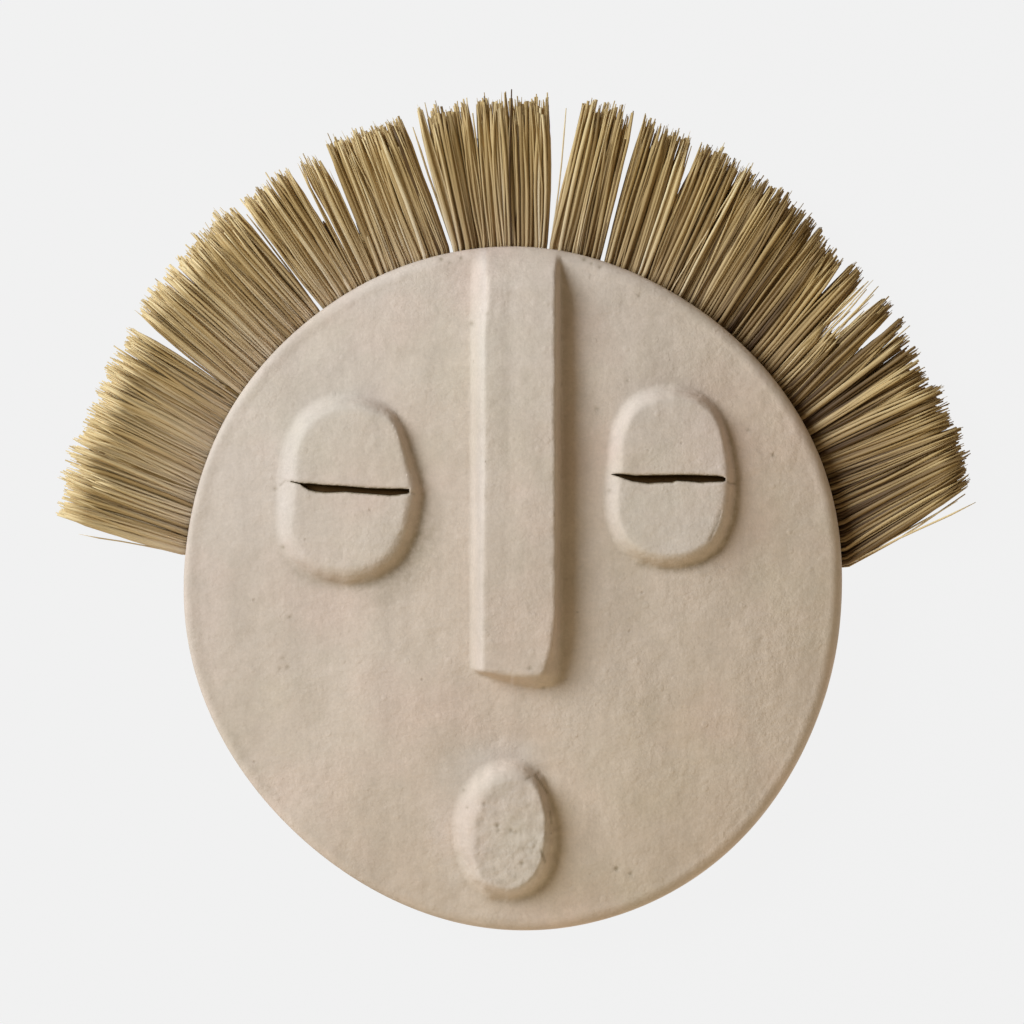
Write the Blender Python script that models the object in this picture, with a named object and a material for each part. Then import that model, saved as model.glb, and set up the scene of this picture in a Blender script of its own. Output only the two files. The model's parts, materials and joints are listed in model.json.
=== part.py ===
"""African mask: a shallow round face moulded in papier-mache and skimmed with clay, with a fan of straw
tufts set in a groove in its rim. It lies on its open back, face up, with the hair towards +Y."""
import math
import random

import bmesh
import bpy
from mathutils import Vector

# Clearance between pieces that touch
FIT_GAP = 0.0003

# Face outline: an oval with a few soft, hand-made bulges, each given as (direction in degrees, reach in
# degrees, share of the radius)
FACE_WIDTH = 0.3000
FACE_LENGTH = 0.3124
BULGES = ((22, 28, 0.010), (63, 26, -0.007), (148, 26, 0.005), (232, 50, -0.030), (305, 36, 0.009))

# Shell: wall, rounded edge, crown of the face and the thick rolled rim with its groove for the hair
WALL = 0.0060
EDGE_ROUND = 0.0065
CROWN_RISE = 0.0150
GROOVE_LIP = 0.0055
GROOVE_HEIGHT = 0.0095
GROOVE_DEPTH = 0.0095
GROOVE_BACK = 0.0070
GROOVE_COVER = 0.0045
RIM_WIDTH = GROOVE_DEPTH + GROOVE_BACK
EDGE_START = GROOVE_LIP + GROOVE_HEIGHT + GROOVE_COVER
FACE_EDGE = EDGE_START + EDGE_ROUND
FACE_STEPS = 72

# Nose: a long bar from the crown of the rim, with sloped sides; offsets are from the middle of the face.
# It sinks over its last stretch, NOSE_FADE, towards the crown, and its free end is a little narrower.
NOSE_LEFT = -0.0141
NOSE_RIGHT = 0.0190
NOSE_SLOPE = 0.0056
NOSE_TIP = -0.0378
NOSE_RELIEF = 0.0120
NOSE_FADE = 0.0240
NOSE_CROWN_SHARE = 0.12
NOSE_TAPER = 0.12

# Eyes: raised ovals, each (x and y of its middle on the slit, half width, height above and below the
# slit, squareness of the upper and of the lower half, where 2 is a plain ellipse)
LEFT_EYE = (-0.0739, 0.0453, 0.0243, 0.0349, 0.0358, 2.4, 2.7)
RIGHT_EYE = (0.0725, 0.0502, 0.0233, 0.0358, 0.0354, 2.7, 2.8)
EYE_RELIEF = 0.0070
EYE_SLOPE = 0.0056
SLIT_HEIGHT = 0.0036
SLIT_OVERRUN = 0.0020
SLIT_TILT = math.radians(-2.4)
SLIT_SQUARENESS = 3
SLIT_STEPS = 12

# Mouth: a raised oval with a wide foot
MOUTH = (-0.0016, -0.1113, 0.0166, 0.0260, 0.0255, 2.1, 2.1)
MOUTH_RELIEF = 0.0100
MOUTH_SLOPE = 0.0070
PAD_STEPS = 28

# Upright lip at the foot of a raised form, where it leaves the face's skin
FOOT_LIP = 0.0003

# Hair: bundles of straw tufts, going round from the right to the left. Each is (number of tufts,
# first and last root angle, first and last tip angle, first and last length out of the rim)
BUNDLES = (
    (4, 3.5, 20.0, 12.5, 20.0, 0.0606, 0.0623),
    (2, 20.0, 26.0, 20.0, 26.3, 0.0618, 0.0609),
    (2, 26.0, 32.5, 26.4, 35.0, 0.0574, 0.0597),
    (1, 32.6, 35.3, 35.9, 38.0, 0.0612, 0.0616),
    (1, 35.4, 39.1, 37.2, 40.4, 0.0342, 0.0341),
    (1, 39.2, 42.3, 41.6, 43.9, 0.0611, 0.0611),
    (2, 42.4, 49.5, 44.5, 51.0, 0.0581, 0.0619),
    (5, 49.5, 66.6, 51.0, 67.3, 0.0634, 0.0663),
    (2, 66.8, 74.4, 68.2, 74.5, 0.0662, 0.0664),
    (2, 74.9, 84.0, 75.6, 82.0, 0.0668, 0.0671),
    (3, 84.3, 93.9, 85.7, 94.4, 0.0659, 0.0663),
    (2, 94.0, 99.9, 95.1, 101.3, 0.0654, 0.0656),
    (4, 100.4, 113.2, 103.2, 112.8, 0.0636, 0.0643),
    (3, 113.4, 124.0, 114.2, 125.1, 0.0614, 0.0614),
    (6, 124.4, 144.8, 125.8, 144.3, 0.0620, 0.0587),
    (3, 144.9, 155.8, 145.1, 154.6, 0.0573, 0.0573),
    (2, 155.8, 163.1, 154.6, 161.5, 0.0548, 0.0581),
    (3, 163.1, 174.1, 161.7, 171.0, 0.0596, 0.0583),
)
TUFT_TIP_THICK = 0.0115
TUFT_RIDGES = 3
TUFT_RIDGE_DEPTH = 0.0011
TUFT_RAGGED = 0.0022
TUFT_EXIT = 0.0010
HAIR_SEED = 7

# How much longer a cutter is than what it cuts
CUT_MARGIN = 0.0060


def clear_scene():
    for obj in list(bpy.data.objects):
        bpy.data.objects.remove(obj, do_unlink=True)


def material(name, colour, roughness):
    mat = bpy.data.materials.new(name)
    mat.use_nodes = True
    shader = mat.node_tree.nodes["Principled BSDF"]
    shader.inputs["Base Color"].default_value = (*colour, 1.0)
    shader.inputs["Roughness"].default_value = roughness
    shader.inputs["Metallic"].default_value = 0.0
    return mat


def add_object(name, bm, mat=None, parent=None):
    """Closes a bmesh into a named object; one with no material is a cutter or a part to be joined."""
    bmesh.ops.recalc_face_normals(bm, faces=bm.faces[:])
    if bm.calc_volume(signed=True) < 0:
        bmesh.ops.reverse_faces(bm, faces=bm.faces[:])
    mesh = bpy.data.meshes.new(name)
    bm.to_mesh(mesh)
    bm.free()
    obj = bpy.data.objects.new(name, mesh)
    bpy.context.scene.collection.objects.link(obj)
    obj.parent = parent
    if mat:
        mesh.materials.append(mat)
    else:
        obj.hide_render = True
        obj.display_type = "WIRE"
    return obj


def combine(obj, other, operation):
    """Joins another solid to the object or cuts it away."""
    step = obj.modifiers.new(operation.lower() + "_" + other.name, "BOOLEAN")
    step.operation = operation
    step.solver = "EXACT"
    step.object = other


def smoothstep(t):
    t = min(max(t, 0.0), 1.0)
    return t * t * (3 - 2 * t)


def outline(degrees):
    """Radius of the face's outline in a direction counted from +X."""
    turn = math.radians(degrees)
    half_width, half_length = FACE_WIDTH / 2, FACE_LENGTH / 2
    radius = half_width * half_length / math.hypot(half_length * math.cos(turn), half_width * math.sin(turn))
    swell = 1.0
    for centre, reach, share in BULGES:
        off = (degrees - centre + 180) % 360 - 180
        if abs(off) < reach:
            swell += share * math.cos(math.pi / 2 * off / reach) ** 2
    return radius * swell


def polar(radius, degrees, z=0.0):
    turn = math.radians(degrees)
    return Vector((radius * math.cos(turn), radius * math.sin(turn), z))


def dome_height(radius):
    """Height of the plain face at a radius of the round profile that the outline then stretches."""
    flat = FACE_WIDTH / 2 - EDGE_ROUND
    if radius <= flat:
        return FACE_EDGE + CROWN_RISE * (1 - (radius / flat) ** 2)
    over = min((radius - flat) / EDGE_ROUND, 1.0)
    return FACE_EDGE - EDGE_ROUND * (1 - math.sqrt(1 - over * over))


def face_height(x, y):
    """Height of the plain face above the floor at a place on it."""
    share = math.hypot(x, y) / outline(math.degrees(math.atan2(y, x)))
    return dome_height(share * FACE_WIDTH / 2)


def skin(name, rings, mat=None, parent=None):
    """Skins a row of closed rings of equal length and closes its two ends."""
    bm = bmesh.new()
    rows = [[bm.verts.new(point) for point in ring] for ring in rings]
    count = len(rows[0])
    for low, high in zip(rows, rows[1:]):
        for i in range(count):
            j = (i + 1) % count
            bm.faces.new((low[i], low[j], high[j], high[i]))
    bm.faces.new(rows[0])
    bm.faces.new(rows[-1])
    return add_object(name, bm, mat, parent)


def shell_profile():
    """Half section of the shell, from the middle of the face over the rim to the middle of the inside."""
    half = FACE_WIDTH / 2
    flat = half - EDGE_ROUND
    points = [(flat * share, dome_height(flat * share)) for share in (0, 0.2, 0.4, 0.6, 0.8, 0.93)]
    for turn in (0, 25, 50, 72, 90):
        angle = math.radians(turn)
        points.append((flat + EDGE_ROUND * math.sin(angle), EDGE_START + EDGE_ROUND * math.cos(angle)))
    points += [(half, 0), (half - RIM_WIDTH, 0)]
    inner = half - RIM_WIDTH
    points.append((inner, GROOVE_LIP + GROOVE_HEIGHT))
    for share in (0.95, 0.8, 0.6, 0.4, 0.2, 0):
        points.append((inner * share, dome_height(inner * share) - WALL))
    return points


def face_shell(mat, parent):
    """The hollow face: the profile is turned, then stretched to the outline, which keeps its heights."""
    bm = bmesh.new()
    verts = [bm.verts.new((x, 0, z)) for x, z in shell_profile()]
    edges = [bm.edges.new(pair) for pair in zip(verts, verts[1:])]
    bmesh.ops.spin(
        bm, geom=verts + edges, cent=(0, 0, 0), axis=(0, 0, 1), angle=math.tau, steps=FACE_STEPS,
        use_merge=True,
    )
    bmesh.ops.remove_doubles(bm, verts=bm.verts[:], dist=1e-6)
    for vert in bm.verts:
        stretch = outline(math.degrees(math.atan2(vert.co.y, vert.co.x))) / (FACE_WIDTH / 2)
        vert.co.x *= stretch
        vert.co.y *= stretch
    return add_object("face_shell", bm, mat, parent)


def oval(half_width, up, down, square_up, square_down, grow, count):
    """Points of an oval about its own middle, its upper and lower half each with a height and squareness."""
    points = []
    for i in range(count):
        across, along = math.cos(math.tau * i / count), math.sin(math.tau * i / count)
        rise, square = (up, square_up) if along > 0 else (down, square_down)
        points.append((math.copysign(abs(across) ** (2 / square), across) * (half_width + grow),
                       math.copysign(abs(along) ** (2 / square), along) * (rise + grow)))
    return points


def pad(name, form, relief, slope, parent):
    """A raised oval with a flat top and a sloped foot that follows the face."""
    middle_x, middle_y, half_width = form[:3]
    levels = (
        (slope, -WALL / 2), (slope, FOOT_LIP), (slope * 0.45, relief * 0.45), (slope * 0.1, relief * 0.88),
        (-slope * 0.15, relief), (-half_width * 0.55, relief * 1.03),
    )
    rings = []
    for grow, rise in levels:
        ring = [(middle_x + x, middle_y + y) for x, y in oval(*form[2:], grow, PAD_STEPS)]
        rings.append([(x, y, face_height(x, y) + rise) for x, y in ring])
    return skin(name, rings, parent=parent)


def slit(name, form, parent):
    """Cutter for an eye's slit: a thin pointed band, a little longer than the eye, through the wall."""
    middle_x, middle_y, half_width = form[:3]
    half, thick = half_width + SLIT_OVERRUN, SLIT_HEIGHT / 2
    edge = []
    for x, y in oval(half, thick, thick, SLIT_SQUARENESS, SLIT_SQUARENESS, 0, SLIT_STEPS):
        edge.append((middle_x + x * math.cos(SLIT_TILT) - y * math.sin(SLIT_TILT),
                     middle_y + x * math.sin(SLIT_TILT) + y * math.cos(SLIT_TILT)))
    top = FACE_EDGE + CROWN_RISE + EYE_RELIEF + CUT_MARGIN
    return skin(name, [[(x, y, z) for x, y in edge] for z in (0.0, top)], parent=parent)


def nose(parent):
    """The bar's cross-sections, from its free end up to the crown, where it rounds over with the rim."""
    crown = outline(90)
    foot = NOSE_TIP - NOSE_SLOPE
    stations = [foot, foot + NOSE_SLOPE * 0.4, NOSE_TIP, NOSE_TIP + NOSE_SLOPE]
    stations += [NOSE_TIP + (crown - NOSE_FADE - NOSE_TIP) * share for share in (0.25, 0.5, 0.75, 1.0)]
    stations += [crown - NOSE_FADE * 0.5, crown - EDGE_ROUND, crown - EDGE_ROUND * 0.6]
    stations += [crown - EDGE_ROUND * 0.3, crown - EDGE_ROUND * 0.08, crown + FIT_GAP]
    middle = (NOSE_LEFT + NOSE_RIGHT) / 2
    section = (
        (NOSE_LEFT - NOSE_SLOPE, 0.0), (NOSE_LEFT - NOSE_SLOPE * 0.4, 0.5), (NOSE_LEFT, 0.94),
        (NOSE_LEFT + NOSE_SLOPE * 0.3, 1.0), (middle, 1.03), (NOSE_RIGHT - NOSE_SLOPE * 0.3, 1.0),
        (NOSE_RIGHT, 0.94), (NOSE_RIGHT + NOSE_SLOPE * 0.4, 0.5), (NOSE_RIGHT + NOSE_SLOPE, 0.0),
    )
    rings = []
    for y in stations:
        rise = smoothstep((y - foot) / (NOSE_TIP - foot))
        rise *= smoothstep((crown - y) / NOSE_FADE + NOSE_CROWN_SHARE)
        level = min(y, crown - FIT_GAP)
        narrow = 1 - NOSE_TAPER * (1 - smoothstep((y - foot) / (2 * NOSE_SLOPE)))
        ring = []
        for x, share in section:
            place = middle + (x - middle) * narrow
            ring.append((place, y, face_height(place, level) + FOOT_LIP + NOSE_RELIEF * share * rise))
        for x in (NOSE_RIGHT + NOSE_SLOPE, NOSE_LEFT - NOSE_SLOPE):
            place = middle + (x - middle) * narrow
            ring.append((place, y, face_height(place, level) - WALL / 2))
        rings.append(ring)
    return skin("nose_bar", rings, parent=parent)


def hair_groove(parent):
    """Cutter for the groove that runs round the rim and is open outwards."""
    first, last = BUNDLES[0][1], BUNDLES[-1][2]
    spare = math.degrees(FIT_GAP / (FACE_WIDTH / 2 - GROOVE_DEPTH))
    count = round((last - first) / 360 * FACE_STEPS)
    rings = []
    for step in range(count + 1):
        angle = first - spare + (last - first + 2 * spare) * step / count
        near, far = outline(angle) - GROOVE_DEPTH, outline(angle) + CUT_MARGIN
        low, high = GROOVE_LIP, GROOVE_LIP + GROOVE_HEIGHT
        rings.append([polar(near, angle, low), polar(far, angle, low), polar(far, angle, high),
                      polar(near, angle, high)])
    return skin("hair_groove", rings, parent=parent)


def tuft_side(root, tip, length):
    """One edge of a tuft, from the bottom of the groove out to the tip."""
    out_of_rim = polar(outline(root) + TUFT_EXIT, root)
    end = polar(outline(tip) + length, tip)
    return [polar(outline(root) - GROOVE_DEPTH + FIT_GAP, root), out_of_rim, (out_of_rim + end) / 2, end]


def tuft(name, first_side, last_side, chance, mat, parent):
    """A flat bunch of straw between two sides, ridged along its length, with a ragged end."""
    bm = bmesh.new()
    columns = 2 * TUFT_RIDGES
    spans = len(first_side) - 1
    bmesh.ops.create_grid(bm, x_segments=columns, y_segments=spans, size=0.5)
    grown = bmesh.ops.extrude_face_region(bm, geom=bm.faces[:])["geom"]
    top = [item for item in grown if isinstance(item, bmesh.types.BMVert)]
    bmesh.ops.translate(bm, verts=top, vec=(0, 0, 1))
    ragged = [chance.uniform(-TUFT_RAGGED, TUFT_RAGGED) for column in range(columns + 1)]
    sunk = [TUFT_RIDGE_DEPTH * chance.uniform(0.7, 1.3) * (column % 2 == 0) for column in range(columns + 1)]
    root_thick = GROOVE_HEIGHT - 2 * FIT_GAP
    thick = [root_thick, root_thick, (root_thick + TUFT_TIP_THICK) / 2, TUFT_TIP_THICK]
    middle = GROOVE_LIP + GROOVE_HEIGHT / 2
    for vert in bm.verts:
        column = round((vert.co.x + 0.5) * columns)
        station = round((vert.co.y + 0.5) * spans)
        start, end = first_side[station], last_side[station]
        inset = FIT_GAP / 2 / (end - start).length
        place = start.lerp(end, inset + (1 - 2 * inset) * column / columns)
        if station == spans:
            out = place - first_side[station - 1].lerp(last_side[station - 1], column / columns)
            place = place + out.normalized() * ragged[column]
        rise = thick[station] / 2 - sunk[column]
        place.z = middle + (rise if vert.co.z > 0.5 else -rise)
        vert.co = place
    return add_object(name, bm, mat, parent)


def hair(mat, parent):
    """All the tufts. Neighbours in a bundle share a side, so they never cross."""
    chance = random.Random(HAIR_SEED)
    tufts = []
    for count, root_a, root_b, tip_a, tip_b, length_a, length_b in BUNDLES:
        sides = []
        for step in range(count + 1):
            share = step / count
            sides.append(tuft_side(
                root_a + (root_b - root_a) * share, tip_a + (tip_b - tip_a) * share,
                length_a + (length_b - length_a) * share,
            ))
        for first_side, last_side in zip(sides, sides[1:]):
            name = "hair_tuft_%02d" % (len(tufts) + 1)
            tufts.append(tuft(name, first_side, last_side, chance, mat, parent))
    return tufts


def centre_on_origin(holder, pieces):
    """Puts the middle of the whole mask's footprint over the origin; its back already lies at z = 0."""
    points = [vert.co for piece in pieces for vert in piece.data.vertices]
    for axis in (0, 1):
        low, high = min(point[axis] for point in points), max(point[axis] for point in points)
        holder.location[axis] = -(low + high) / 2


def build():
    clear_scene()
    holder = bpy.data.objects.new("african_mask", None)
    bpy.context.scene.collection.objects.link(holder)
    clay = material("clay_skim", (0.552, 0.445, 0.342), 0.9)
    straw = material("straw", (0.305, 0.205, 0.098), 0.75)

    shell = face_shell(clay, holder)
    forms = [nose(holder), pad("mouth_pad", MOUTH, MOUTH_RELIEF, MOUTH_SLOPE, holder)]
    cutters = [hair_groove(holder)]
    for side, eye in (("left", LEFT_EYE), ("right", RIGHT_EYE)):
        forms.append(pad(side + "_eye", eye, EYE_RELIEF, EYE_SLOPE, holder))
        cutters.append(slit(side + "_slit", eye, holder))
    for form in forms:
        combine(shell, form, "UNION")
    for cutter in cutters:
        combine(shell, cutter, "DIFFERENCE")
    centre_on_origin(holder, [shell] + hair(straw, holder))


build()
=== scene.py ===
import json
import math
import random

import bmesh
import bpy
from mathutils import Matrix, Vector, noise

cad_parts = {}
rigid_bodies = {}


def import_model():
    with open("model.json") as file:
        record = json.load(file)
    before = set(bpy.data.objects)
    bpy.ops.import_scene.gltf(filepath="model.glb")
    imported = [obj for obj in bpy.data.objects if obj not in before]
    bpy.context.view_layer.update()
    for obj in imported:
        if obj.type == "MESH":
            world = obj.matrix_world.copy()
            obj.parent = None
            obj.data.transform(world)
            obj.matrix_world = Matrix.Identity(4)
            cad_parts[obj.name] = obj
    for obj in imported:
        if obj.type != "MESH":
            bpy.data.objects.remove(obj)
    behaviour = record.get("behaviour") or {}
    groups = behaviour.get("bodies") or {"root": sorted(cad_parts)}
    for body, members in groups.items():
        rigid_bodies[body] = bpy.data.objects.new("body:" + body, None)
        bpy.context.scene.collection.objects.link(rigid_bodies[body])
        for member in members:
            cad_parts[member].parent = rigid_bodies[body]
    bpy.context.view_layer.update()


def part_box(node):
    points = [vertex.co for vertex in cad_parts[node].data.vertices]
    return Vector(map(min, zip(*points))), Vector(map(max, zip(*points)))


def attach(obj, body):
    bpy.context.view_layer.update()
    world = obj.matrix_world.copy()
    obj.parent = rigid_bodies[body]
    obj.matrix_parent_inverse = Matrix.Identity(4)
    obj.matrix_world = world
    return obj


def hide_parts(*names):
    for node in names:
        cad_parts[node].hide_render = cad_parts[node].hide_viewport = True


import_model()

# The view. The photograph looks straight down on the mask, which lies on its open back with the hair
# towards the top of the picture, from far enough away that nothing leans outwards. It takes in a little
# under half a metre.
PICTURE_WIDTH = 0.4669
CAMERA_RISE = 4.0
CAMERA_OVER = Vector((-0.0005, 0.0007, 0.0200))

camera_data = bpy.data.cameras.new("camera")
camera_data.lens = camera_data.sensor_width * CAMERA_RISE / PICTURE_WIDTH
camera_data.clip_end = 50.0
camera = bpy.data.objects.new("camera", camera_data)
camera.location = CAMERA_OVER + Vector((0, 0, CAMERA_RISE))
bpy.context.scene.collection.objects.link(camera)
bpy.context.scene.camera = camera
bpy.context.scene.view_settings.view_transform = "Standard"


# The light. One large, slightly cool soft lamp stands low on the left and a little towards the hair. A weak
# warm one beyond the chin, as from a card, lifts the sides turned away, and a dim warm surround fills the
# rest. A direction is the turn from +X round through +Y, and then the height above the floor.
LAMP_DISTANCE = 4.0
KEY_SIZE = 2.5
KEY_DIRECTION = (math.radians(155), math.radians(36))
KEY_POWER = 207.0
KEY_COLOUR = (0.84, 0.96, 1.07)
CARD_SIZE = 3.0
CARD_DIRECTION = (math.radians(284), math.radians(20))
CARD_POWER = 42.0
CARD_COLOUR = (1.0, 0.89, 0.60)
SURROUND_COLOUR = (1.0, 0.86, 0.60)
SURROUND_STRENGTH = 0.225


def soft_lamp(name, direction, size, power, colour):
    turn, rise = direction
    data = bpy.data.lights.new(name, "AREA")
    data.shape = "DISK"
    data.size = size
    data.energy = power
    data.color = colour
    lamp = bpy.data.objects.new(name, data)
    towards = Vector((math.cos(turn) * math.cos(rise), math.sin(turn) * math.cos(rise), math.sin(rise)))
    lamp.location = towards * LAMP_DISTANCE
    lamp.rotation_euler = towards.to_track_quat("Z", "Y").to_euler()
    bpy.context.scene.collection.objects.link(lamp)


soft_lamp("key", KEY_DIRECTION, KEY_SIZE, KEY_POWER, KEY_COLOUR)
soft_lamp("card", CARD_DIRECTION, CARD_SIZE, CARD_POWER, CARD_COLOUR)
world = bpy.data.worlds.new("surround")
world.use_nodes = True
surround = world.node_tree.nodes["Background"]
surround.inputs["Color"].default_value = (*SURROUND_COLOUR, 1.0)
surround.inputs["Strength"].default_value = SURROUND_STRENGTH
bpy.context.scene.world = world


# The floor is a plain pale table top, lit from within like a light table, so that the mask throws hardly
# any shadow on it. The lit part stops under the mask, so that the hollow behind the slits stays dark.
FLOOR_SIZE = 6.0
FLOOR_GLOW = 0.868
FLOOR_TINT = (0.011, 0.011, 0.011)
FLOOR_BELOW_RIM = 0.0004
HOLLOW_GLOW = 0.02
HOLLOW_REACH = 0.140
HOLLOW_FADE = 0.010


def add_node(tree, kind, **values):
    """A node with its settings and its plain input values; an input may be another node's output."""
    node = tree.nodes.new(kind)
    for key, value in values.items():
        if hasattr(node, key) and key not in node.inputs:
            setattr(node, key, value)
            continue
        socket = node.inputs[int(key[3:])] if key.startswith("in_") else node.inputs[key.replace("_", " ")]
        if isinstance(value, bpy.types.NodeSocket):
            tree.links.new(value, socket)
        else:
            socket.default_value = value
    return node


floor_bm = bmesh.new()
bmesh.ops.create_grid(floor_bm, x_segments=1, y_segments=1, size=FLOOR_SIZE / 2)
floor_mesh = bpy.data.meshes.new("floor")
floor_bm.to_mesh(floor_mesh)
floor_bm.free()
floor = bpy.data.objects.new("floor", floor_mesh)
bpy.context.scene.collection.objects.link(floor)
floor.location.z = -FLOOR_BELOW_RIM
table_top = bpy.data.materials.new("table_top")
table_top.use_nodes = True
tree = table_top.node_tree
place = add_node(tree, "ShaderNodeTexCoord").outputs["Object"]
low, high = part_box("face_shell")
under_face = ((low.x + high.x) / 2, (low.y + high.y) / 2, 0.0)
from_middle = add_node(tree, "ShaderNodeVectorMath", operation="DISTANCE", in_0=place, in_1=under_face)
open_floor = add_node(
    tree, "ShaderNodeMapRange", in_0=from_middle.outputs["Value"], in_1=HOLLOW_REACH - HOLLOW_FADE,
    in_2=HOLLOW_REACH, in_3=HOLLOW_GLOW, in_4=FLOOR_GLOW,
).outputs["Result"]
shader = tree.nodes["Principled BSDF"]
shader.inputs["Base Color"].default_value = (*FLOOR_TINT, 1.0)
shader.inputs["Roughness"].default_value = 1.0
shader.inputs["Specular IOR Level"].default_value = 0.0
shader.inputs["Emission Color"].default_value = (1.0, 1.0, 1.0, 1.0)
tree.links.new(open_floor, shader.inputs["Emission Strength"])
floor_mesh.materials.append(table_top)


# The face is a shallow hollow shell of papier-mache over a mould, skimmed by hand with a clay and chalk
# wash. The nose, the two eyes and the mouth are built up on it in the same paste, and each eye has a
# slit cut through to the hollow. A groove runs round the thick rim behind the crown for the hair.
FACE_WIDTH = 0.3000
FACE_LENGTH = 0.3124
BULGES = ((22, 28, 0.010), (63, 26, -0.007), (148, 26, 0.005), (232, 50, -0.030), (305, 36, 0.009))
WALL = 0.0060
EDGE_ROUND = 0.0065
CROWN_RISE = 0.0150
GROOVE_LIP = 0.0055
GROOVE_HEIGHT = 0.0095
GROOVE_DEPTH = 0.0095
RIM_WIDTH = 0.0165
EDGE_START = 0.0195
FACE_EDGE = EDGE_START + EDGE_ROUND
GROOVE_SPAN = (3.5, 174.1)

HALF = FACE_WIDTH / 2
FLAT = HALF - EDGE_ROUND


def smoothstep(t):
    t = min(max(t, 0.0), 1.0)
    return t * t * (3 - 2 * t)


def hump(distance, reach):
    """1 in the middle, falling softly to nothing towards a few reaches away."""
    return math.exp(-(distance / reach) ** 2)


def outline(degrees):
    """Radius of the face's outline in a direction counted from +X."""
    turn = math.radians(degrees)
    wide, long = FACE_WIDTH / 2, FACE_LENGTH / 2
    radius = wide * long / math.hypot(long * math.cos(turn), wide * math.sin(turn))
    swell = 1.0
    for centre, reach, share in BULGES:
        off = (degrees - centre + 180) % 360 - 180
        if abs(off) < reach:
            swell += share * math.cos(math.pi / 2 * off / reach) ** 2
    return radius * swell


def polar(radius, degrees, z=0.0):
    turn = math.radians(degrees)
    return Vector((radius * math.cos(turn), radius * math.sin(turn), z))


# The middle of the face, from which everything on the mask is measured
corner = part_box("face_shell")[0]
edge_points = [polar(outline(step), step) for step in range(0, 360, 5)]
MIDDLE = Vector((
    corner.x - min(point.x for point in edge_points), corner.y - min(point.y for point in edge_points), 0.0,
))


def fullness(degrees):
    """2 for an evenly rounded edge; more where the edge was left full and turns down late, on the left."""
    return 2.0 + 2.2 * max(-math.cos(math.radians(degrees)), 0.0) ** 2


def dome_height(radius, full=2.0):
    """Height of the plain face at a radius of the round profile that the outline then stretches."""
    if radius <= FLAT:
        return FACE_EDGE + CROWN_RISE * (1 - (radius / FLAT) ** 2)
    over = min((radius - FLAT) / EDGE_ROUND, 1.0)
    return FACE_EDGE - EDGE_ROUND * (1 - (1 - over ** full) ** (1 / full))


# Nose: a long bar with a steep left side, a steeper right one and a free end that leans out to the right.
# A section is the share of a slope that its hollow foot takes and the share of its rounded edge to the top.
# The crest and the dip along the top are (height or depth, where, reach). A bend is (from where, over what
# way, by how much): the left edge leans in twice towards the crown, the right one draws in at the free end.
# The tip's slope is (width at its left end, how fast it grows to the right, where from).
NOSE_RELIEF = 0.0120
NOSE_CREST = (0.0012, 0.075, 0.055)
NOSE_DIP = (0.00025, -0.0008, 0.0040)
NOSE_FADE = 0.0240
NOSE_CROWN_SHARE = 0.12
NOSE_LEFT_FOOT = -0.0198
NOSE_LEFT_TOP = -0.0136
NOSE_LEFT_BENDS = ((0.0, 0.050, 0.0006), (0.112, 0.024, 0.0019))
NOSE_RIGHT_FOOT = 0.0225
NOSE_RIGHT_TOP = 0.0191
NOSE_RIGHT_BEND = (-0.010, 0.021, 0.0034)
NOSE_LEFT_SECTION = (0.50, 0.28)
NOSE_RIGHT_SECTION = (0.16, 0.34)
NOSE_TIP = -0.0388
NOSE_TIP_MIDDLE = 0.004
NOSE_TIP_ROUND = 6.7
NOSE_TIP_SLOPE = (0.0026, 0.185, -0.0137)
NOSE_RIPPLE = 0.0003
TOP_EDGE = 1.10
CORNER_SOFTNESS = 1.20


def nose_share(x, y):
    """0 at the foot of the nose, 1 at the edge of its top, and a little more on the top."""
    ripple = NOSE_RIPPLE * noise.noise(Vector((x * 60, y * 130, 2.0)))
    left = NOSE_LEFT_TOP + ripple
    for start, over, inwards in NOSE_LEFT_BENDS:
        left += inwards * smoothstep((y - start) / over)
    start, over, inwards = NOSE_RIGHT_BEND
    right = NOSE_RIGHT_TOP + ripple - inwards * (min(y - start, 0.0) / over) ** 2
    tip = NOSE_TIP + NOSE_TIP_ROUND * (x - NOSE_TIP_MIDDLE) ** 2
    least, longer, start = NOSE_TIP_SLOPE
    tip_slope = least + longer * max(x - start, 0.0)
    shares = (
        (x - left) / (left - NOSE_LEFT_FOOT) + 1,
        (right - x) / (NOSE_RIGHT_FOOT - right) + 1,
        (y - tip) / tip_slope + 1,
    )
    worst = max(CORNER_SOFTNESS - share for share in shares)
    if worst > 4:
        return CORNER_SOFTNESS - worst
    return CORNER_SOFTNESS - sum(max(CORNER_SOFTNESS - share, 0.0) ** 3 for share in shares) ** (1 / 3)


# Eyes and mouth: ovals shaped by hand, each with an outline of its own. Each is (middle, reach of its top's
# edge in millimetres every 20 degrees from +X round through +Y, width of its slope in millimetres every
# 45 degrees the same way, relief, section of its upper left side, section of its lower right side,
# unevenness of its edge)
LEFT_EYE = (
    (-0.0739, 0.0453),
    (26.2, 26.6, 30.0, 35.6, 36.7, 36.4, 34.3, 29.8, 25.6, 24.4, 26.9, 32.6, 35.4, 35.6, 34.8, 32.4, 28.4,
     26.1),
    (7.8, 5.0, 8.2, 9.6, 10.2, 9.8, 9.0, 10.0), 0.0078, (0.50, 0.46), (0.20, 0.62), 0.00030,
)
RIGHT_EYE = (
    (0.0725, 0.0502),
    (23.5, 24.8, 28.8, 34.2, 36.1, 35.7, 33.8, 28.7, 24.2, 23.2, 25.7, 30.4, 34.0, 34.4, 33.9, 31.9, 27.4,
     24.2),
    (6.6, 5.0, 8.0, 8.2, 8.0, 7.8, 7.2, 8.0), 0.0076, (0.50, 0.44), (0.20, 0.62), 0.00030,
)
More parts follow.
